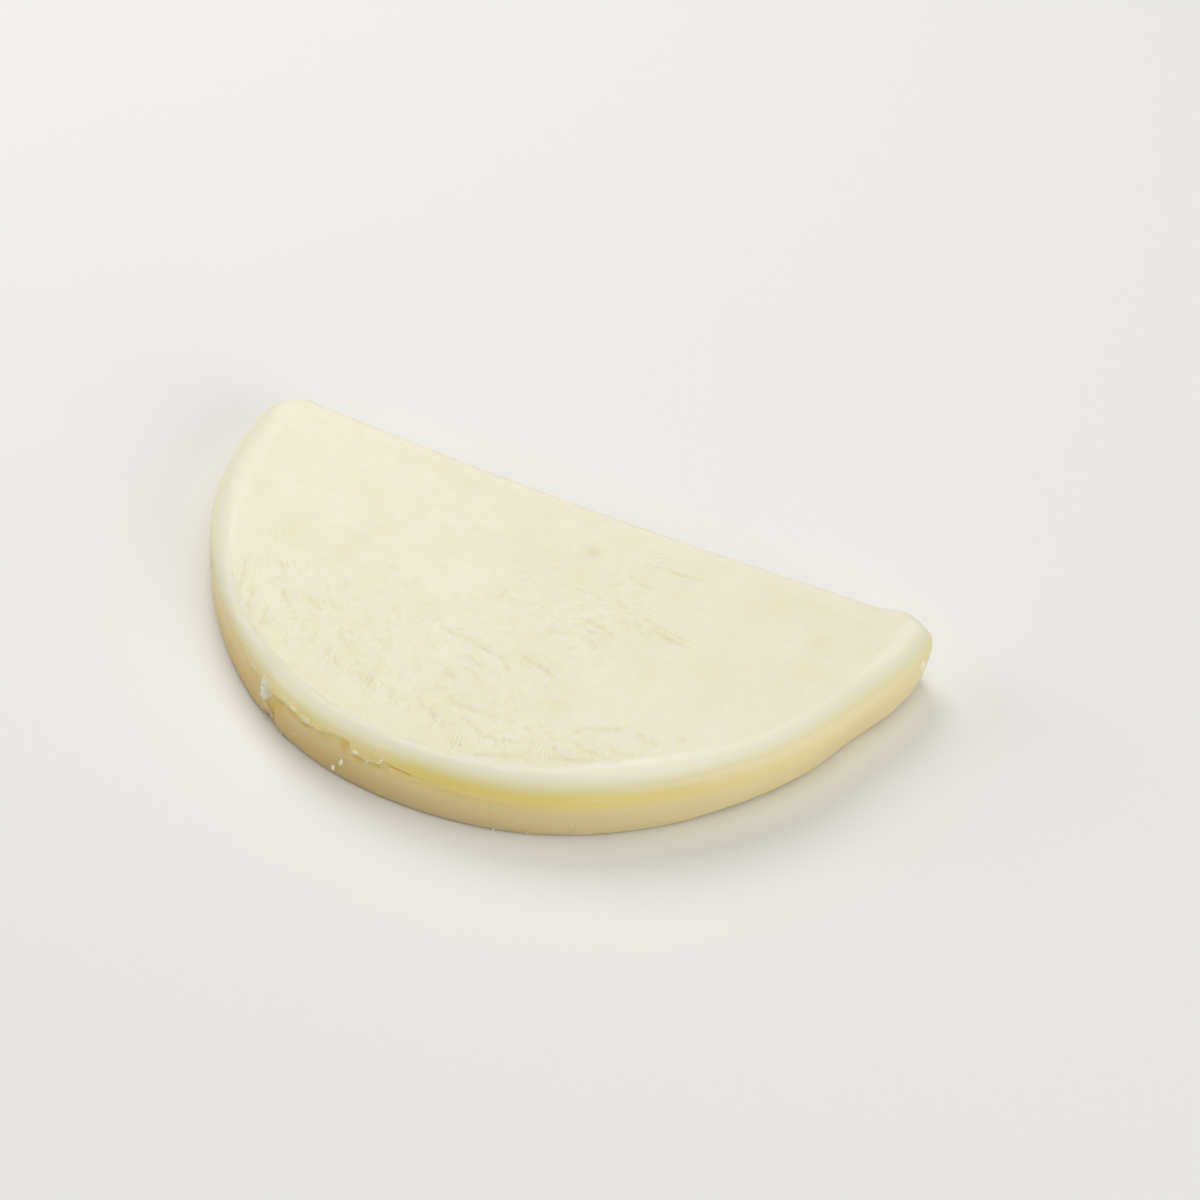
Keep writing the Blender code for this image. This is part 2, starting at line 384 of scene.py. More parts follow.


# Creases that stand alone: (path, half width, depth, how strong the painted shade in the groove is), in
# millimetres.
LONE_CREASES = (
    # long combed streaks right of the middle
    (((27, -23.9), (31, -23.7), (35, -24.2), (39, -24.8), (43.6, -25.3)), .24, .1, .6),
    (((28.2, -25.4), (31.4, -26.1)), .42, .05, .8),
    (((32.6, -25.7), (35, -25.9), (38, -26.4), (43, -26.9)), .46, .1, 1),
    (((23.4, -27), (28, -27), (32, -27.4), (36.4, -28.4)), .22, .08, .5),
    (((20.4, -27.8), (25.6, -28.4)), .2, .07, .4),
    (((19, -28.2), (22, -28.9), (26.6, -29.8)), .2, .08, .4),
    (((17.6, -29.5), (22, -30), (24.4, -30.4), (28, -31.4)), .4, .06, 1),
    (((20.6, -34.2), (23, -34.6), (26.2, -36.2)), .3, .07, .8),
    (((27.6, -7.6), (31, -7.9), (34.8, -6.7)), .42, .09, .9),
    (((31, -9), (34.4, -8)), .2, .05, .3),
    (((6, -18.7), (9.5, -18.2)), .36, .04, .4),
    (((10, -21.9), (15, -22), (21, -21.3)), .3, .05, .4),
    (((16, -22.9), (22, -22.6), (28, -22.3)), .3, .05, .5),
    (((20, -40.4), (24.8, -41.2)), .28, .06, .5),
    (((15.5, -42.8), (18.5, -43.7), (22.4, -44)), .3, .06, .5),
    # arcs in front of the middle, as if brushed by a fingertip
    (((-8, -45.2), (-3, -46.5), (1, -46.3), (4, -47.2), (7.4, -48.2)), .42, .07, .8),
    (((8, -47.6), (11, -49.2), (13, -51.4)), .42, .07, .8),
    (((11, -45), (16, -46), (19, -46.6), (22.8, -47.7)), .45, .07, 1),
    (((.4, -50), (5, -51.5), (8, -52.4), (11, -53)), .4, .06, .6),
    (((4.4, -53.8), (7, -54.8), (10.4, -56.9)), .36, .06, .6),
    (((-.2, -58), (2.4, -56.9), (4.2, -57.8)), .5, .05, .8),
    (((0, -40.8), (3, -42)), .3, .05, .4),
    (((3, -61.4), (8, -63.4), (12, -63.5), (15, -63.2), (19, -62.2)), .48, .08, .8),
    (((-1.2, -64.8), (1.5, -67.5), (4.5, -68.5), (6.8, -68)), .42, .07, .8),
    (((7, -67), (11, -66.4), (14, -67.6), (17, -68.8), (20, -68.7), (24, -67), (28, -64.6)), .5, .06, .7),
    # the outlines of small pressed bubbles near the front right
    (
        ((32.4, -61), (32.8, -59.4), (33.8, -57.8), (36, -56.5), (39, -55.3), (41.5, -53.9), (43.6, -53.2)),
        .45, .08, .8,
    ),
    (((43, -53), (44.6, -53.8), (46.6, -54.6), (50, -54)), .4, .07, .9),
    (((32.6, -60.8), (35, -62.1), (37, -62.7), (41, -62.2)), .42, .08, .9),
    (((40, -59.2), (43, -60.3), (45, -59.8), (48, -58)), .42, .06, .8),
    (((30.4, -69), (34, -66.9), (37, -65.8), (42, -63.4)), .42, .07, .8),
    (((30.6, -64.4), (32.6, -65.8), (34.4, -67)), .4, .1, .8),
    (((27, -62.5), (30, -61.6)), .26, .07, .5),
    (((19, -71), (24, -69.3), (29, -68.2)), .42, .06, .7),
    (((16, -75.6), (20, -73.3), (24, -71.1), (29, -69.8)), .42, .06, .7),
    (((52, -51.4), (53, -50.6), (54, -51.6)), .36, .05, .6),
    # the left side: creases that run with the rim, and others that slant across it
    (((-55.4, -47.6), (-53, -51.5), (-51.8, -54.5), (-50.8, -58)), .34, .07, .7),
    (((-50.8, -51), (-49.5, -54), (-48.8, -57)), .28, .06, .5),
    (((-48.8, -54), (-47.5, -57), (-46.2, -61.4)), .34, .06, .7),
    (((-52.4, -43.6), (-49.6, -47)), .26, .06, .5),
    (((-48.2, -44.6), (-46, -47), (-44.5, -48.6), (-42.6, -51)), .34, .08, .8),
    (((-43.6, -51.4), (-41.5, -53.5), (-39.5, -55), (-37.5, -56.5), (-35.4, -58.2)), .38, .09, .9),
    (((-37.6, -50.6), (-35, -52.5), (-33, -53), (-31, -54.4)), .36, .08, .8),
    (((-35, -54.4), (-33, -55.8), (-31.6, -57)), .26, .08, .5),
    (((-32, -50.6), (-28.4, -52.4)), .3, .06, .6),
    (((-46.6, -50.2), (-43.6, -49)), .26, .06, .4),
    (((-26, -56), (-23.5, -58.5), (-20.5, -60.5), (-18.4, -62)), .38, .06, .7),
    (((-42.8, -57), (-41.6, -61), (-41, -65)), .32, .08, .7),
    (((-18.6, -63.2), (-15, -63.7), (-12, -64.4)), .26, .07, .6),
    (((-14.4, -62.6), (-10.4, -63.6)), .26, .06, .5),
    (((-16.6, -66), (-12.6, -66)), .26, .05, .5),
    (((-11.7, -65), (-11, -69.2)), .42, .1, 1),
)
CREASE_WIDTH, CREASE_DEPTH, CREASE_TINT = 1.3, .9, .74
for path, half_width, depth, tint in LONE_CREASES:
    crease(path, CREASE_WIDTH * half_width, CREASE_DEPTH * depth, CREASE_TINT * tint)

# Creases that lie side by side like a comb: (middle of the first tooth, middle of the last, direction of the
# first tooth in degrees, of the last, length, spacing, strength).
COMBS = (
    ((23.8, -4.2), (24.2, -8.4), 6, -4, 3.8, 1.25, .55),
    ((23.8, -9.4), (25, -14), 1, -2, 7.6, 1.15, .72),
    ((26, -15.8), (23.6, -24.6), -4, -3, 5.5, 1.2, .58),
    ((12.5, -20.5), (14.5, -24.8), 0, -3, 5.5, 1.25, .55),
    ((22.6, -26.4), (21.6, -31.6), -5, -10, 6, .9, .58),
    ((23.2, -32.8), (24.2, -36.4), -6, -18, 4, .85, .66),
    ((34, -22.4), (33.4, -28.8), -6, -8, 9, 1.1, .42),
    ((8, -26), (10, -32), -4, -8, 3.6, 1.5, .45),
    ((26.6, -66.6), (31.2, -66.4), -72, -63, 5.4, .86, 1),
    ((32.6, -66), (40, -62.4), -52, -36, 2.4, 1.15, .58),
    ((9.6, -71.6), (18.4, -73), -70, -60, 3.8, 1.05, .94),
    ((-5, -68.6), (2.6, -70.6), -60, -62, 3.6, 1.3, .61),
    ((-13.4, -66.2), (-5.4, -67), -78, -70, 2.8, 1.15, .93),
    ((4.4, -69), (9, -69.8), -74, -68, 2.6, .95, .82),
    ((16.4, -70), (24, -67.8), -62, -56, 2.2, 1.3, .6),
    ((-52, -57), (-47.4, -59.8), -76, -72, 4.8, .95, .74),
    ((-44.6, -61), (-40.8, -62.8), -80, -82, 6.4, 1, .77),
    ((-39.6, -61.6), (-36.4, -63.6), -82, -78, 5.4, .8, .78),
    ((-35.2, -62.4), (-29, -64.6), -78, -84, 4, 1.2, .62),
    ((-28.4, -64.6), (-21.6, -65.6), -86, -82, 4.6, 1.15, .65),
    ((-20.4, -65.4), (-13.6, -67.2), -84, -78, 3.2, 1.15, .71),
    ((-55, -52.6), (-51.4, -49), -62, -58, 6, 1.15, .58),
    ((-52, -46.6), (-43, -44), -50, -46, 4.4, 1.5, .6),
    ((-38.4, -52.4), (-29, -50), -38, -34, 3.6, 1.4, .71),
    ((-35.4, -58.4), (-31.4, -60.4), 56, 44, 3.2, .9, .55),
    ((-35, -60.2), (-30.6, -57.8), -58, -62, 3, .95, .55),
    ((-23.6, -52), (-20.6, -60), -40, -36, 3.8, 1.5, .54),
    ((-59, -41), (-50, -36.4), -62, -56, 7.5, 1.5, .41),
    ((-8.6, -47), (-5.4, -54.4), -24, -30, 3, 1.1, .62),
    ((4.4, -42.6), (6.6, -47.4), -12, -18, 5.4, 1.25, .59),
    ((4.4, -47.8), (5.8, -51.6), -16, -22, 4, 1.1, .52),
    ((20.6, -41.6), (17, -46), -9, -10, 4.6, 1.05, .6),
    ((.4, -56.6), (3, -62), -28, -22, 3, 1.5, .54),
    ((23.6, -52.4), (28, -54), -56, -64, 2.4, 1.1, .56),
    ((41, -58.6), (42.6, -54.4), 26, 30, 2.6, 1.5, .46),
    ((58, -50), (64, -42), 48, 56, 4, 1.6, .41),
)
for first, last, first_angle, last_angle, length, spacing, strength in COMBS:
    comb(first, last, first_angle, last_angle, length, spacing, strength)

# Short, faint stray creases across the front and the middle of the skin.
STRAY_FIELDS = (
    # middle, half spread, direction, count
    ((-30, -55), (24, 11), -50, 120), ((2, -56), (24, 14), -25, 110), ((-5, -66), (26, 7), -70, 70),
    ((22, -66), (20, 7), -50, 50), ((15, -28), (16, 14), -6, 60), ((-12, -30), (26, 16), 10, 40),
)
STRAY_DEPTH = .03
stray_draw = np.random.default_rng(8)
for middle, half_spread, direction, count in STRAY_FIELDS:
    for _ in range(count):
        centre = np.array(middle) + stray_draw.uniform(-1, 1, 2) * half_spread
        angle = math.radians(direction + stray_draw.normal(0, 35))
        ahead = np.array((math.cos(angle), math.sin(angle))) * stray_draw.uniform(.5, 1.4)
        half_width = stray_draw.uniform(.22, .45)
        crease((centre - ahead, centre + ahead), half_width, STRAY_DEPTH, stray_draw.uniform(.2, .5), bank=.8)

# The skin is gathered along its edge at the front: soft lobes that point across the rim's inner line.
FRINGE_START = -200
FRINGE_STEP = 1.35
gathered = np.interp(turn, (-134, -124, -104, -92, -82, -62, -52), (0, .35, .5, 1, .9, .4, 0))
gathered *= hill(inside_rim - 1.3 - .9 * mottle(3, 19), 1.1) * (.65 + .5 * mottle(2.2, 20))
fringe_count = (turn - FRINGE_START) * WALL_DEGREE / FRINGE_STEP
lay_comb(on_top_points, fringe_count[on_top_points] + wobble, gathered[on_top_points])

# Where two combs meet they blur each other out. Each combed line is a groove with a ridge on either side.
COMB_DEPTH = .045
combed = np.maximum(0, comb_share - comb_rival)
relief -= COMB_DEPTH * combed * np.cos(2 * math.pi * comb_count)

# Between the creases the skin is finely puckered.
relief += on_top * busy * (.03 * mottle(1.1, 15) + .02 * mottle(.6, 16))

# A small pit near the middle of the cut.
PIT_X, PIT_Y = 10.9, -10.4
PIT_HALF_WIDTH = 1.15
PIT_DEPTH = .16
pit = hill(np.hypot(x - PIT_X, y - PIT_Y), PIT_HALF_WIDTH) * on_top
relief -= PIT_DEPTH * pit
# The pit's hollow gets the same painted shade.
crease_shade = np.maximum(crease_shade, .8 * pit)

# The rim: pressed smooth, with long slow waves along it and a low bright bead where the skin ends.
relief += on_rim * (.07 * flow(14, 3, 31) + .02 * flow(3, 1.2, 32))
BEAD_STRENGTH = (
    (-160, 0), (-148, 1.2), (-140, 1.6), (-126, 1.6), (-118, .8), (-104, .35), (-84, .45), (-72, .7),
    (-64, 1), (-50, 1), (-43, .3), (-34, 0),
)
BEAD_OUTSIDE_LINE = .85
BEAD_HALF_WIDTH = .75
BEAD_HEIGHT = .08
bead = hill(inside_rim + BEAD_OUTSIDE_LINE, BEAD_HALF_WIDTH) * np.interp(turn, *zip(*BEAD_STRENGTH))
bead *= (1 - on_wall) * (1 - on_cut)
bead *= .8 + .5 * flow(4, 2, 33)
relief += BEAD_HEIGHT * bead

# The wall: drawn-out flow lines, and a rough foot where it stood on the board.
relief += on_wall * (.10 * flow(20, 2.6, 41) + .035 * flow(7, .8, 42) + .02 * flow(1.2, .7, 43))
relief += on_wall * step(3.2 - height, 0, 2.6) * (.05 * mottle(1.3, 44) + .03 * mottle(.7, 45))

# The wall laid out flat: millimetres round it from the front left, and height.
WALL_START = -100


def laid_out(outline):
    """Points of (direction, height) as points of the wall laid out flat."""
    return [((place_turn - WALL_START) * WALL_DEGREE, place_height) for place_turn, place_height in outline]


wall_x = (turn - WALL_START) * WALL_DEGREE
ragged_x = wall_x + .22 * mottle(1.1, 51) + .12 * mottle(.5, 52)
ragged_height = height + .25 * mottle(1.2, 53) + .12 * mottle(.5, 54)


def inside_patch(outline):
    """How far inside an outline of (direction, height) a point of the wall is. Outside it is below 0."""
    corners = laid_out(outline)
    distance = np.full(point_count, np.inf)
    inside = np.zeros(point_count, bool)
    for (start_x, start_y), (end_x, end_y) in zip(corners, corners[1:] + corners[:1]):
        dx, dy = end_x - start_x, end_y - start_y
        run = ((ragged_x - start_x) * dx + (ragged_height - start_y) * dy) / (dx * dx + dy * dy)
        run = np.clip(run, 0, 1)
        gap = np.hypot(ragged_x - start_x - run * dx, ragged_height - start_y - run * dy)
        distance = np.minimum(distance, gap)
        if dy:
            spans = (start_y > ragged_height) != (end_y > ragged_height)
            inside ^= spans & (ragged_x < start_x + (ragged_height - start_y) / dy * dx)
    return np.where(inside, distance, -distance) - 9 * (reach < RADIUS - 9)


# The torn seam on the left of the wall: a thin lap of paste hangs over the paste below. Its lower edge as
# (direction, height), and how thick the lap is there.
LAP_EDGE = (
    (-127, 9.9), (-122, 10.5), (-119, 10.3), (-115, 10.4), (-112.3, 10.7), (-110, 10.9), (-109.2, 11.4),
    (-107, 11.7), (-104.9, 11.6), (-104.6, 11), (-103.3, 10.9), (-101.8, 11.4), (-99.8, 11.9), (-98.4, 12.7),
    (-95.3, 12.8), (-95, 10.6), (-92, 10.6), (-90.3, 10.8), (-89.2, 12.1), (-88.2, 11.4), (-85, 11),
    (-80, 10.3), (-70, 9.8),
)
LAP_THICKNESS = (
    (-128, 0), (-122, .2), (-116, .35), (-110, .6), (-104, .6), (-100, .5), (-97.5, .3), (-95.4, .3),
    (-95, .5), (-90, .45), (-88.4, .25), (-84, .14), (-70, 0),
)
edge_height = np.interp(turn + (ragged_x - wall_x) / WALL_DEGREE, *zip(*LAP_EDGE))
lap_thickness = np.interp(turn, *zip(*LAP_THICKNESS)) * on_wall
above_edge = ragged_height - edge_height
lap = step(above_edge, -.1, .16) * step(3.6 - above_edge, 0, 3.4)
relief += lap_thickness * lap
relief -= .3 * lap_thickness * hill(above_edge + .6, .7)

# Pale torn curd, partly a painted highlight along the lap's lower edge, and yellow hollows, partly soaked
# paste and partly painted shade, for the material. The rim's bead gets a painted highlight too.
pale_curd_and_highlight = .8 * hill(above_edge - .25, .3) * np.interp(
    turn,
    (-125, -121, -117, -111, -109, -107, -105, -103.5, -101, -98, -95.4, -94.8, -92, -89.4, -88.8),
    (0, .25, .3, .15, .3, .65, .45, .7, .5, 0, 0, .5, .3, .6, 0),
)
# The bead's paleness is a painted highlight along the rim.
pale_curd_and_highlight = np.maximum(pale_curd_and_highlight, .38 * bead)
soaked_and_shade = np.zeros(point_count)

# A white chip of curd hangs from the lap over the notch, thick along its left and worn away on its right.
CHIP = (
    (-114.8, 12.4), (-111.8, 12.3), (-112.2, 9.8), (-112.8, 8), (-113.5, 6.9), (-114.4, 6.2), (-115.3, 6.5),
    (-115.1, 8.2), (-115.2, 9.6), (-114.9, 10.8),
)
in_chip = inside_patch(CHIP)
chip_left = step(-112.6 - turn, 0, 1.5)
chip_low = step(12 - height, 0, 3.5)
relief += (.2 + .65 * chip_left) * chip_low * step(in_chip, -.1, .2) * (.85 + .3 * mottle(.7, 55))
pale_curd_and_highlight = np.maximum(pale_curd_and_highlight, step(in_chip, -.1, .15) * (.4 + .6 * chip_left) * (.5 + .5 * step(12 - height, 0, 2)))

# Small torn bits: (direction, height, half length round the wall, half height, lean, how far it stands out).
TORN_BITS = (
    (-114.1, 4.7, .95, 1.3, -.2, .45), (-112.9, 3.2, .35, .9, -.5, .55), (-114.5, 2.8, .3, .25, 0, .3),
    (-106.3, 12.2, .9, .34, .1, .16), (-103.6, 11.8, 1.4, .55, 0, .12), (-101.3, 12, 1, .3, .3, .12),
    (-94.1, 11.5, .55, .4, .3, .3), (-92.5, 9.9, .26, .75, .4, .3), (-90.9, 11.2, .7, .18, .1, .2),
    (-89.5, 12, .7, .22, .6, .3), (-88.3, 10.3, .35, .35, 0, .2), (-121.3, 12.9, .28, .5, .6, .12),
    (-2.4, 10.6, 1, 1.1, 0, .55), (-4.4, 6.6, .4, .25, .2, .2), (-3.4, 8.4, .4, .3, 0, .2),
    (5.5, 7.4, .8, 1.1, 0, .35), (6.4, 4.6, .7, .9, 0, .3),
)
TORN_PALENESS = (.18, .5, .4, .5, .45, .35, .75, .6, .4, .8, .4, .5, 1, .5, .5, .8, .8)
for torn_bit, paleness in zip(TORN_BITS, TORN_PALENESS):
    bit_turn, bit_height, half_length, half_height, lean, stands_out = torn_bit
    up = ragged_height - bit_height
    along = ragged_x - (bit_turn - WALL_START) * WALL_DEGREE - lean * up
    bit = step(1.3 - np.hypot(along / half_length, up / half_height), 0, .55) * (reach > RADIUS - 8)
    relief += stands_out * bit
    pale_curd_and_highlight = np.maximum(pale_curd_and_highlight, paleness * bit)

# Hollows where oil has soaked in, their golden yellow partly painted shade of the recess under the lap:
# (direction, height, half length, half height, lean, strength).
HOLLOW_DEPTH = .22
SOAKED_AND_SHADED_HOLLOWS = (
    (-110.6, 8.8, 2.2, 2.6, .35, 1), (-111.9, 6.2, 1.1, 2, .3, .8), (-118.4, 8.6, 3.6, 1.2, 0, .35),
    (-104, 10, 1.9, 1, 0, .7), (-100.4, 10.4, 2.4, 1.2, 0, .45), (-96.3, 11.2, 1.2, 3, .1, .7),
    (-94, 9.3, 1.5, .9, 0, .9), (-90.8, 9.7, 1.9, .6, 0, .8), (-107.2, 10.2, 2.2, 1, 0, .45),
)
for spot_turn, spot_height, half_length, half_height, lean, strength in SOAKED_AND_SHADED_HOLLOWS:
    up = ragged_height - spot_height
    along = ragged_x - (spot_turn - WALL_START) * WALL_DEGREE - lean * up
    spot = hill(np.hypot(along / half_length, up / half_height), 1) * (reach > RADIUS - 8)
    soaked_and_shade = np.maximum(soaked_and_shade, strength * spot * (1 - step(above_edge, -.2, .1)))
    relief -= HOLLOW_DEPTH * strength * spot * on_wall
soaked_and_shade *= 1 - np.minimum(1, 1.4 * pale_curd_and_highlight)

# Fine lines on the wall: (path of (direction, height), half width, raised or sunk by, pale, soaked). Sunk
# lines are tinted yellow, partly as painted shade, and raised lines pale, partly as painted highlight.
WALL_LINES = (
    (((-121.8, 12.6), (-120, 11.3), (-117.4, 10.9), (-115.6, 11)), .3, .14, .35, 0),
    (((-89.2, 11.9), (-88.4, 11.3), (-87, 11.15), (-85.2, 10.9), (-84.5, 10.2)), .24, -.42, 0, 1.3),
    (
        ((-89.2, 10.4), (-87, 10), (-85, 9.7), (-82.5, 10.1), (-78, 10.3), (-74, 10), (-68, 9.7)),
        .26, .1, .22, 0,
    ),
    (((-90, 9), (-84, 9.3), (-76, 9.2), (-70, 9), (-62, 9.2)), .85, -.04, 0, .26),
    (((-79, 5.3), (-71, 5.9), (-63, 7.2), (-55, 8.9)), .35, -.07, 0, .2),
    (((-102.8, 10), (-104.4, 8)), .25, .08, .35, 0),
    (((-105.9, 5.7), (-107.3, 3.6)), .22, .07, .3, 0),
    (((-98, 5.8), (-95.6, 7.4), (-92.6, 8)), .3, -.06, 0, .2),
    (((-124, 7.4), (-120.5, 9.4)), .3, .07, .2, 0),
    (((-64, 11.4), (-59, 11.7), (-54, 11.9)), .3, .05, .2, 0),
)
wall_points = np.flatnonzero((on_wall > .02) & (turn < -40))
for path, half_width, raised_by, paleness, soaking_and_shade in WALL_LINES:
    near, line, _, _ = stroke(laid_out(path), half_width, wall_x[wall_points], height[wall_points])
    chosen = wall_points[near]
    relief[chosen] += raised_by * line
    pale_curd_and_highlight[chosen] = np.maximum(pale_curd_and_highlight[chosen], paleness * line)
    soaked_and_shade[chosen] = np.maximum(soaked_and_shade[chosen], soaking_and_shade * line)

# The foot is set in here and there, most at the left, where it ends in a notch beside a small toe.
FOOT_SET_IN = (
    (-182, 0), (-140, 0), (-126, .1), (-117, .3), (-114.8, .8), (-113.6, 1.6), (-113.2, 2.1), (-112.8, -.5),
    (-111.6, -.45), (-110.8, 0), (-100, -.1), (-80, -.15), (-60, -.2), (-45, -.2), (-41, .6), (-29, .65),
    (-25, -.1), (-14, 0), (-10, .8), (-3, .9), (2, .6),
)
FOOT_HEIGHT = (
    (-182, 1), (-117, 1.2), (-113.2, 2.3), (-112.8, 1.2), (-60, 1), (-43, 1.4), (-27, 1.4), (-12, 1.8),
    (2, 2.4),
)
foot_share = 1 - step(height, 0, np.interp(turn, *zip(*FOOT_HEIGHT)))
foot_share *= step(reach, RADIUS - 2.6, RADIUS - .4) * (1 - on_cut)
set_in = np.interp(turn, *zip(*FOOT_SET_IN)) * foot_share

# A small nick under the rim at the right tip.
NICK_TURN, NICK_HEIGHT = -.4, 11.9
set_in += .5 * hill(turn - NICK_TURN, .45) * hill(height - NICK_HEIGHT, .8) * on_wall

# The cut face shows the knife's slow drag, and the underside is nearly flat.
relief += on_cut * (.05 * mottle(9, 71) + .03 * mottle(2, 72, stretch=(4, 1, .5)) + .012 * mottle(.8, 73))
relief += on_base * (.04 * mottle(6, 81) + .02 * mottle(1.5, 82))

# The right tip swells back past the cut near its top, and nothing goes below the board.
TIP_X, TIP_HALF_WIDTH, TIP_SWELL = 80.4, 4.5, 1.3
TOP_LEEWAY = .2
points += normals * relief[:, None] * MM
points[:, 0] -= x / reach * set_in * MM
points[:, 1] -= y / reach * set_in * MM
points[:, 1] += TIP_SWELL * hill(x - TIP_X, TIP_HALF_WIDTH) * step(y, -5, 1) * step(height, 3, 12) * MM
points[:, 2] = np.clip(points[:, 2], CHEESE_LOW.z, CHEESE_HIGH.z + TOP_LEEWAY * MM)
cheese.data.vertices.foreach_set("co", points.ravel())
cheese.data.update()


def keep_attribute(name, values):
    """Stores a value for each point, for the material to read."""
    attribute = cheese.data.attributes.new(name, "FLOAT", "POINT")
    attribute.data.foreach_set("value", np.clip(values, 0, 1).astype(np.float32))


# Yellow, oilier spots in the top skin: (x, y, half width, half depth, strength).
OILY_SPOTS = (
    (53.6, -7, 3.6, 3, .5), (66, -12.6, 2.6, 3, .7), (67.4, -21, 4.6, 2.4, .7), (64.6, -27, 3, 1.2, .55),
    (26.4, -54, 2.6, 2.6, .6), (38, -38, 2.4, 3.6, .5), (48, -31, 4, 1.6, .35), (-8, -14.8, 2, .8, .4),
    (-49.4, -13.4, 2.4, 1.6, .45), (-41, -17, 1.8, 1.2, .5), (-15.6, -8, 3, 2.4, .35),
    (-43.4, -30.2, 1.6, 1.2, .5), (-33, -26, 2.6, 1.6, .45), (-37.6, -36, 2, 5.4, .45),
    (-41, -40.6, 3, 1.6, .45), (-27.6, -40, 3.6, 3, .35), (-16, -42, 2, 3.4, .35),
    (10.9, -10.6, 2.6, 2.8, .75), (18.8, -18.6, 3.4, 1.8, .5), (23, -12.4, 2.6, 1.6, .45),
    (17.6, -35.6, 3, 1.4, .5), (14.6, -46.6, 2.6, 1.6, .5), (53, -51, 1.6, 1.2, .45),
    (47, -50, 2.6, 1, .35), (-21.6, -4, 7, 2, .4), (0, -2.2, 6, 1.6, .35), (-36, -2.4, 8, 2, .4),
    (16, -4, 3, 3, .25), (60, -3, 8, 1.6, .4), (-66, -1.4, 2.6, 1.2, .55), (-69.6, -8, 1.6, 3, .5),
    (-63.6, -26, 2, 3, .3), (-50, -36, 5, 6, .3), (5, -68, 8, 3, .35), (-12, -67, 5, 3, .3),
    (-32, -59, 8, 4, .25), (75.6, -9, 2, 3, .3), (32, -13, 5, 3, .25),
)
oily = np.zeros(point_count)
edge_of_spot = 1 + .5 * mottle(3, 91) + .3 * mottle(1.2, 92)
for spot_x, spot_y, half_width, half_depth, strength in OILY_SPOTS:
    spot = np.hypot((x - spot_x) / half_width, (y - spot_y) / half_depth) * edge_of_spot
    oily = np.maximum(oily, strength * hill(spot, 1))

# The skin is a little oilier just inside the rim's inner line at the front.
front_skirt = np.interp(turn, (-150, -126, -60, -38), (0, 1, 1, 0)) * hill(inside_rim - 2.2, 2.6)
oily = np.maximum(oily, .4 * front_skirt * (1 + .4 * mottle(2.4, 93)))

# What the material reads: where each part of the skin is, what is pressed or torn there, and the climb from
# the foot. Every value is kept between 0 and 1, so the climb and the count of combed lines are divided down.
CLIMB_TOP = 24
COMB_TOP = 128
TOOTH_KINDS = 64
tooth_draw = np.random.default_rng(21)
keep_attribute("wall_share", on_wall)
keep_attribute("top_share", on_top)
keep_attribute("crease_shade", crease_shade)
keep_attribute("busy", busy * on_top)
tooth_strength = tooth_draw.uniform(.45, 1.1, TOOTH_KINDS)[np.round(comb_count).astype(int) % TOOTH_KINDS]
keep_attribute("combed", combed * tooth_strength)
keep_attribute("comb_count", comb_count / COMB_TOP)
keep_attribute("oily", oily * on_top)
keep_attribute("pale_curd_and_highlight", pale_curd_and_highlight)
keep_attribute("soaked_and_shade", soaked_and_shade)

# The yellow band under the rim, strongest at the front, partly the paste's own yellow and partly painted
# light soaking through the edge; and where the front and the left get painted shade, a darker, browner lower
# wall.
band_middle = np.interp(turn, (-104, -93, -85, -70, -50, -20), (12.6, 12.3, 12.1, 11.9, 11.2, 10))
band_height = np.interp(turn, (-95, -84, -72, -60), (2.2, 2.9, 2.6, 2.2))
band = hill(climb - band_middle - .5 * flow(12, 4, 92), band_height) * step(climb, 5, 9)
band_strength = np.interp(turn, (-140, -122, -104, -90, -84, -62, -45, -20), (0, .4, .5, .5, 1, 1, .5, .1))
front_share = np.interp(turn, (-140, -122, -100, -75, -55, -40), (.45, 1, 1, .8, .25, 0))
keep_attribute("yellow_band", band * band_strength * (1 - on_cut))
keep_attribute("front_share", front_share * (1 - on_cut))
keep_attribute("left_painted_shade", hill(turn + 115, 27) * hill(height - 4, 4) * on_wall)
keep_attribute("cut_share", on_cut)

# Two fields of faint streaks on the top: right of the middle, and in front of it.
streaked = hill(np.hypot((x - 16) / 20, (y + 27) / 12), 1)
streaked += .7 * hill(np.hypot((x - 6) / 24, (y + 57) / 12), 1)
keep_attribute("streaked", streaked * on_top)

# Towards both tips the rim's colours come lower on the wall, and right of the front they stay higher.
climb += 1.5 * step(turn, -12, -1) + 1.6 * step(-turn, 122, 138)
climb -= 1.6 * hill(climb - 14.6, 2) * step(turn, -52, -42) * step(-turn, 14, 24)
keep_attribute("climb", climb / CLIMB_TOP)
bpy.ops.object.select_all(action="DESELECT")
cheese.select_set(True)
bpy.context.view_layer.objects.active = cheese
bpy.ops.object.shade_smooth()

paste = bpy.data.materials.new("provolone_paste")
paste.use_nodes = True
paste_nodes = paste.node_tree.nodes
paste_links = paste.node_tree.links
shader = paste_nodes["Principled BSDF"]


def linear(red, green, blue):
    """A colour given as it looks on a screen, from 0 to 255, as the light that Blender wants."""
    return tuple(((c / 255 + .055) / 1.055) ** 2.4 for c in (red, green, blue)) + (1,)


def stored(name):
    """A stored value of the cheese's points, as a number."""
    node = paste_nodes.new("ShaderNodeAttribute")
    node.attribute_name = name
    return node.outputs["Fac"]


def feed(sockets, values):
    """Sets each socket to its value, or links it to that value where another node gives it."""
    for socket, value in zip(sockets, values):
        if isinstance(value, bpy.types.NodeSocket):
            paste_links.new(value, socket)
        else:
            socket.default_value = value


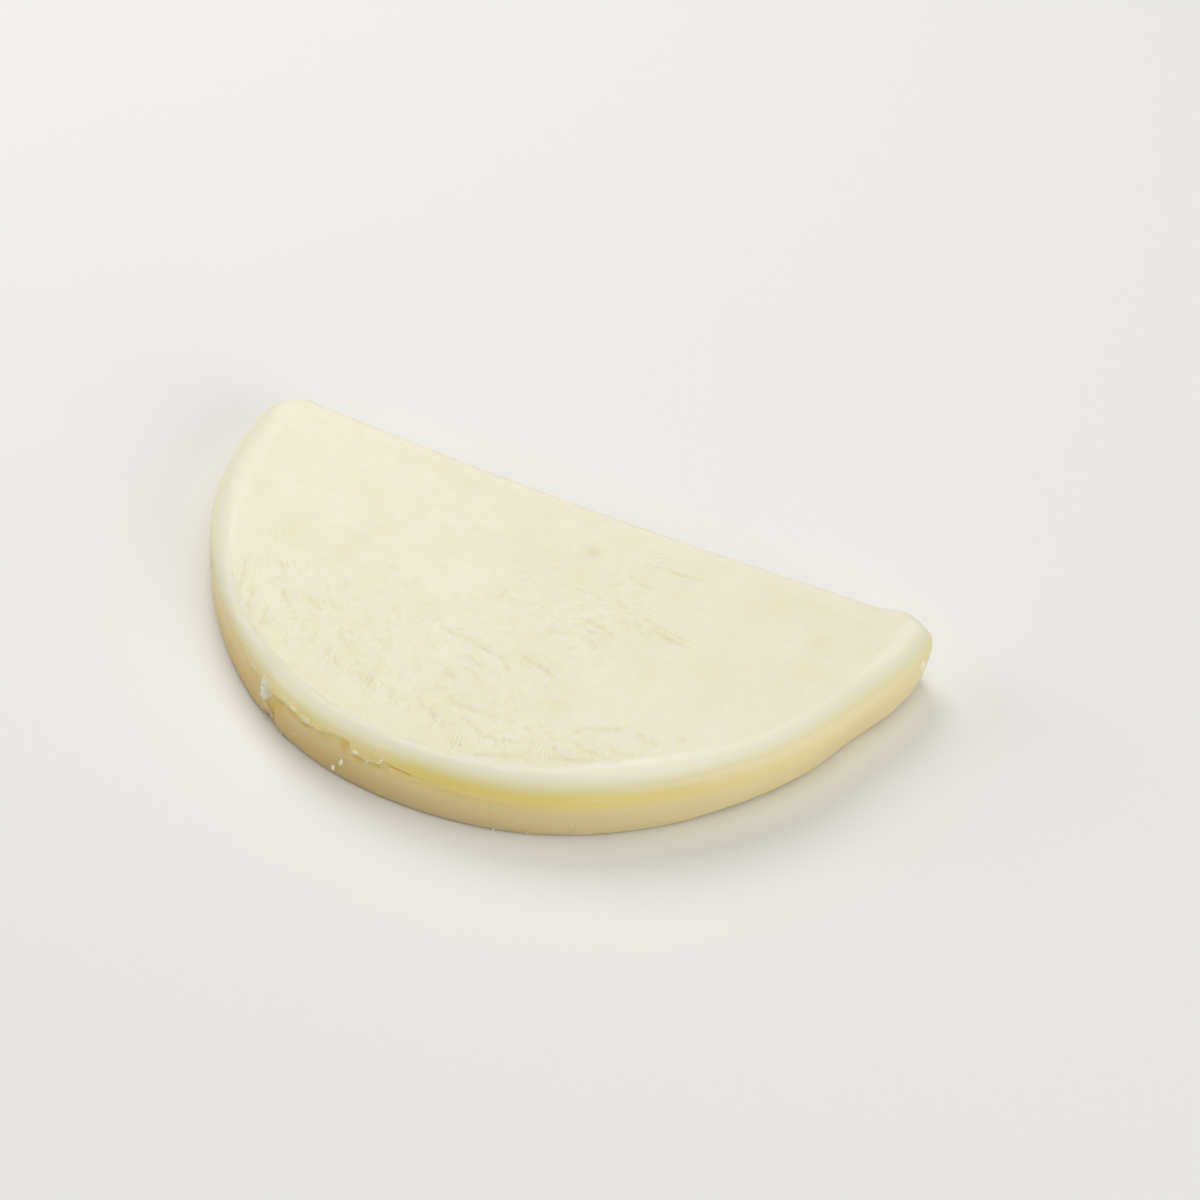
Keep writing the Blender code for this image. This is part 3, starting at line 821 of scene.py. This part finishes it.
def mix_colour(share, under, over):
    """Lays one colour over another, by a share."""
    node = paste_nodes.new("ShaderNodeMix")
    node.data_type = "RGBA"
    feed((node.inputs[0], node.inputs[6], node.inputs[7]), (share, under, over))
    return node.outputs[2]


def work_out(operation, first, second=0.0, third=0.0):
    """One sum with one, two or three numbers."""
    node = paste_nodes.new("ShaderNodeMath")
    node.operation = operation
    feed(node.inputs, (first, second, third))
    return node.outputs[0]


def times(first, second):
    """The product of two numbers."""
    return work_out("MULTIPLY", first, second)


def noise(scale, detail=3, roughness=.55, stretch=(1, 1, 1)):
    """A noise on the cheese's own coordinates, with about scale patches to the millimetre."""
    mapping = paste_nodes.new("ShaderNodeMapping")
    mapping.inputs["Scale"].default_value = [1 / s for s in stretch]
    paste_links.new(paste_nodes.new("ShaderNodeTexCoord").outputs["Object"], mapping.inputs["Vector"])
    node = paste_nodes.new("ShaderNodeTexNoise")
    node.inputs["Scale"].default_value = scale / MM
    node.inputs["Detail"].default_value = detail
    node.inputs["Roughness"].default_value = roughness
    paste_links.new(mapping.outputs["Vector"], node.inputs["Vector"])
    return node.outputs["Fac"]


def climb_ramp(*stops):
    """A run of colours from the foot up the wall and in over the rim, as (climb, colour)."""
    node = paste_nodes.new("ShaderNodeValToRGB")
    while len(node.color_ramp.elements) < len(stops):
        node.color_ramp.elements.new(.5)
    for element, (climb_at, colour) in zip(node.color_ramp.elements, stops):
        element.position = climb_at / CLIMB_TOP
        element.color = linear(*colour)
    paste_links.new(stored("climb"), node.inputs["Fac"])
    return node.outputs["Color"]


def spread(value, low, high):
    """Stretches a number so that low gives 0 and high gives 1, and keeps it between them."""
    node = paste_nodes.new("ShaderNodeMapRange")
    node.inputs["From Min"].default_value = low
    node.inputs["From Max"].default_value = high
    paste_links.new(value, node.inputs["Value"])
    return node.outputs[0]


# The paste is palest on the top. Up the wall the run of colours is partly painted light: the darker foot is
# painted shade, the paler, cooler rim is painted sky light, and the yellow under the rim is partly the
# paste's own and partly painted light soaking through the edge.
right_run = climb_ramp(
    (0, (228, 210, 158)), (2.6, (235, 219, 165)), (4.8, (237, 224, 171)), (8.3, (240, 229, 176)),
    (10, (241, 230, 177)), (13.2, (239, 230, 184)), (14.6, (235, 227, 183)), (15.6, (235, 229, 188)),
    (16.9, (233, 229, 196)), (18.1, (232, 229, 203)), (19.3, (236, 232, 210)), (20.6, (241, 237, 218)),
    (22.6, (240, 235, 214)),
)
front_run = climb_ramp(
    (0, (208, 185, 134)), (2.6, (213, 192, 140)), (4.1, (220, 203, 148)), (6.2, (232, 217, 156)),
    (8.3, (242, 225, 160)), (10.2, (244, 228, 168)), (12.8, (243, 232, 184)), (14.2, (244, 237, 198)),
    (15.5, (242, 237, 199)), (16.9, (237, 233, 202)), (18.1, (232, 229, 204)), (19.3, (232, 227, 207)),
    (20.9, (232, 228, 203)), (22.6, (237, 233, 211)),
)
# The front's run has a darker foot, which is painted shade.
climb_run = mix_colour(stored("front_share"), right_run, front_run)
patch_colour = mix_colour(.6, climb_run, linear(226, 212, 158))
wall_patches = mix_colour(spread(noise(.1, stretch=(3, 3, 1)), .35, .7), climb_run, patch_colour)
climb_run = mix_colour(stored("wall_share"), climb_run, wall_patches)
# The lower left wall gets painted shade with a brown cast.
left_painted_shade = times(stored("left_painted_shade"), .7)
climb_run = mix_colour(left_painted_shade, climb_run, linear(226, 194, 116))
# The yellow band is partly the paste's own yellow and partly painted light soaking through the edge.
climb_run = mix_colour(stored("yellow_band"), climb_run, linear(242, 226, 129))

# The top is mottled and oilier in spots. Where it is puckered it is flecked dark, and flecked pale with
# painted highlights, and its creases get painted shade.
CREASE_PAINTED_SHADE = linear(225, 217, 174)
RIDGE_PAINTED_HIGHLIGHT = linear(246, 242, 226)
top_colour = mix_colour(spread(noise(.07), .35, .65), linear(239, 234, 214), linear(237, 231, 208))
top_colour = mix_colour(times(stored("oily"), .55), top_colour, linear(230, 222, 178))
top_colour = mix_colour(spread(noise(.55, 4, .6), .5, .72), top_colour, linear(236, 230, 203))
puckers = times(spread(noise(.7, 4, .6), .48, .64), stored("busy"))
top_colour = mix_colour(times(puckers, .6), top_colour, linear(230, 223, 184))
# The pale flecks among the puckers are painted highlights.
fleck = spread(noise(1.2, 3, .6, stretch=(.8, 2.4, 1)), .55, .68)
flecks = times(fleck, stored("busy"))
top_colour = mix_colour(times(flecks, .6), top_colour, RIDGE_PAINTED_HIGHLIGHT)
streak = noise(1, 3, .6, stretch=(4, .8, 1))
dark_streaks = times(spread(streak, .53, .66), stored("streaked"))
top_colour = mix_colour(times(dark_streaks, .55), top_colour, linear(229, 222, 184))
# Combed grooves get painted shade, and the ridges beside them painted highlights.
turns_of_comb = times(stored("comb_count"), COMB_TOP * 2 * math.pi)
comb_groove = work_out("MULTIPLY_ADD", work_out("COSINE", turns_of_comb), .5, .5)
comb_ridge = work_out("SUBTRACT", 1, comb_groove)
groove_share = times(times(comb_groove, stored("combed")), .62)
ridge_share = times(times(comb_ridge, stored("combed")), .4)
top_colour = mix_colour(groove_share, top_colour, CREASE_PAINTED_SHADE)
top_colour = mix_colour(ridge_share, top_colour, RIDGE_PAINTED_HIGHLIGHT)
top_colour = mix_colour(stored("crease_shade"), top_colour, CREASE_PAINTED_SHADE)

# The cut is plain paste. Soaked and torn places lie over everything.
cut_colour = mix_colour(spread(noise(.12), .35, .65), linear(239, 232, 205), linear(236, 228, 198))
colour = mix_colour(stored("cut_share"), climb_run, cut_colour)
colour = mix_colour(stored("top_share"), colour, top_colour)
colour = mix_colour(stored("soaked_and_shade"), colour, linear(238, 203, 92))
colour = mix_colour(stored("pale_curd_and_highlight"), colour, linear(249, 244, 228))
paste_links.new(colour, shader.inputs["Base Color"])

shader.inputs["Subsurface Weight"].default_value = .35
shader.inputs["Subsurface Radius"].default_value = (1, .7, .3)
shader.inputs["Subsurface Scale"].default_value = .003
shader.inputs["IOR"].default_value = 1.45
rough = work_out("MULTIPLY_ADD", noise(.5), .2, .40)
paste_links.new(rough, shader.inputs["Roughness"])

# Grain finer than the mesh, and the combed lines' sharper edges, are left to a very low bump.
bump = paste_nodes.new("ShaderNodeBump")
bump.inputs["Strength"].default_value = .5
bump.inputs["Distance"].default_value = .05 * MM
fine_grain = work_out("MULTIPLY_ADD", stored("busy"), 2, .8)
paste_links.new(times(noise(1.6, 4, .6), fine_grain), bump.inputs["Height"])
comb_bump = paste_nodes.new("ShaderNodeBump")
comb_bump.invert = True
comb_bump.inputs["Strength"].default_value = 1
comb_bump.inputs["Distance"].default_value = .05 * MM
paste_links.new(times(comb_groove, stored("combed")), comb_bump.inputs["Height"])
paste_links.new(bump.outputs["Normal"], comb_bump.inputs["Normal"])
paste_links.new(comb_bump.outputs["Normal"], shader.inputs["Normal"])
cheese.data.materials.clear()
cheese.data.materials.append(paste)

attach(cheese, "root")
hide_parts(CHEESE_NODE)


# ---- The crumbs ------------------------------------------------------------------------
# Small pale crumbs of the same curd that broke off along the seam. Three cling to the wall and four just
# above its foot, and each is a rough little lump.

# Each crumb as (direction, height, width, length, lean in degrees). How far its middle stands out from the
# wall, and half its depth, are shares of its width, so it sinks in a little.
CRUMB_STANDS_OUT = .28
CRUMB_HALF_DEPTH = .36
CRUMB_LUMPS = 14
LUMP_SHARPNESS = 6
CRUMBS = (
    (-97.1, 5.5, .85, 2.2, -18), (-98.4, 2.8, .8, 2, -8), (-61.4, 4.1, .32, .4, 0), (-110.3, .5, .5, .7, 80),
    (-73, .4, .45, .6, 70), (-67.9, .4, .4, .5, 80), (-116.6, .5, .4, .6, 60),
)
crumb_draw = np.random.default_rng(77)
points = read_vectors(cheese.data.vertices, "co")
normals = read_vectors(cheese.data.vertex_normals, "vector")
x, y, height, reach, turn = places(points)
wall_side = reach > RADIUS - 6
pieces = []
for crumb_turn, crumb_height, width, length, lean in CRUMBS:
    gap = np.hypot((turn - crumb_turn) * WALL_DEGREE, height - crumb_height) + 99 * ~wall_side
    spot = int(np.argmin(gap))
    seat = Vector(points[spot]) + Vector(normals[spot]) * (CRUMB_STANDS_OUT * width * MM)
    bpy.ops.object.select_all(action="DESELECT")
    bpy.ops.mesh.primitive_ico_sphere_add(subdivisions=4, radius=1, location=(0, 0, 0))
    crumb = bpy.context.object
    shape = read_vectors(crumb.data.vertices, "co")
    lumps = crumb_draw.normal(0, 1, (CRUMB_LUMPS, 3))
    lumps /= np.linalg.norm(lumps, axis=1)[:, None]
    swell = crumb_draw.uniform(-.22, .26, CRUMB_LUMPS)
    shape *= (1 + (np.exp(LUMP_SHARPNESS * (shape @ lumps.T - 1)) * swell).sum(1))[:, None]
    crumb.data.vertices.foreach_set("co", shape.ravel())
    outward = math.degrees(math.atan2(seat.y - ARC_MIDDLE.y, seat.x - ARC_MIDDLE.x))
    crumb.scale = (CRUMB_HALF_DEPTH * width * MM, .5 * width * MM, .5 * length * MM)
    crumb.rotation_euler = (math.radians(lean), 0, math.radians(outward))
    crumb.location = seat
    bpy.ops.object.transform_apply(location=True, rotation=True, scale=True)
    pieces.append(crumb)
for crumb in pieces:
    crumb.select_set(True)
bpy.context.view_layer.objects.active = pieces[0]
bpy.ops.object.join()
crumbs = bpy.context.object
crumbs.name = "crumbs"
bpy.ops.object.shade_smooth()

crumb_paste = bpy.data.materials.new("crumb_paste")
crumb_paste.use_nodes = True
crumb_shader = crumb_paste.node_tree.nodes["Principled BSDF"]
crumb_shader.inputs["Base Color"].default_value = linear(249, 245, 230)
crumb_shader.inputs["Roughness"].default_value = .55
crumb_shader.inputs["IOR"].default_value = 1.45
crumb_shader.inputs["Subsurface Weight"].default_value = .2
crumb_shader.inputs["Subsurface Radius"].default_value = (1, .7, .3)
crumb_shader.inputs["Subsurface Scale"].default_value = .001
crumbs.data.materials.append(crumb_paste)

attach(crumbs, "root")


# ---- The floor, the light and the camera -----------------------------------------------
# A plain pale floor, four soft studio lamps, the strongest behind the left tip, and a camera that looks down
# on the cheese from the front right.

bpy.ops.object.select_all(action="DESELECT")
bpy.ops.mesh.primitive_plane_add(size=6, location=(0, 0, CHEESE_LOW.z))
floor = bpy.context.object
floor.name = "floor"
floor_paint = bpy.data.materials.new("floor_paint")
floor_paint.use_nodes = True
floor_shader = floor_paint.node_tree.nodes["Principled BSDF"]
floor_shader.inputs["Base Color"].default_value = linear(238, 236, 232)
floor_shader.inputs["Roughness"].default_value = .8
floor.data.materials.append(floor_paint)

WORLD_LIGHT = .15
world = bpy.data.worlds.new("studio")
bpy.context.scene.world = world
world.use_nodes = True
world.node_tree.nodes["Background"].inputs["Color"].default_value = (1, 1, 1, 1)
world.node_tree.nodes["Background"].inputs["Strength"].default_value = WORLD_LIGHT


def softbox(name, place, size, power):
    """A square lamp of this size and power that shines at the cheese."""
    bpy.ops.object.light_add(type="AREA", location=place)
    lamp = bpy.context.object
    lamp.name = name
    lamp.rotation_euler = Vector(place).to_track_quat("Z", "Y").to_euler()
    lamp.data.size = size
    lamp.data.energy = power


softbox("back_left_softbox", (-.7, .7, 1.1), .8, 9.5)
softbox("overhead_softbox", (.4, 0, 1.5), 1.2, 9)
softbox("right_softbox", (1.3, -.45, .55), .8, 7.4)
softbox("left_softbox", (-1.3, -.2, .55), .8, 5)

# The camera looks at a point right of the arc's middle and in front of it.
AIM = ARC_MIDDLE + Vector((.01164, -.00905, 0))
VIEW_AZIMUTH = math.radians(28.25)
VIEW_ELEVATION = math.radians(44.3)
VIEW_DISTANCE = .5761
back = Vector((
    math.sin(VIEW_AZIMUTH) * math.cos(VIEW_ELEVATION),
    -math.cos(VIEW_AZIMUTH) * math.cos(VIEW_ELEVATION),
    math.sin(VIEW_ELEVATION),
))
bpy.ops.object.camera_add(
    location=AIM + back * VIEW_DISTANCE,
    rotation=back.to_track_quat("Z", "Y").to_euler(),
)
camera = bpy.context.object
camera.data.lens = 77.57
camera.data.sensor_width = 36
camera.data.clip_start = .01
bpy.context.scene.camera = camera
bpy.context.scene.view_settings.view_transform = "Standard"
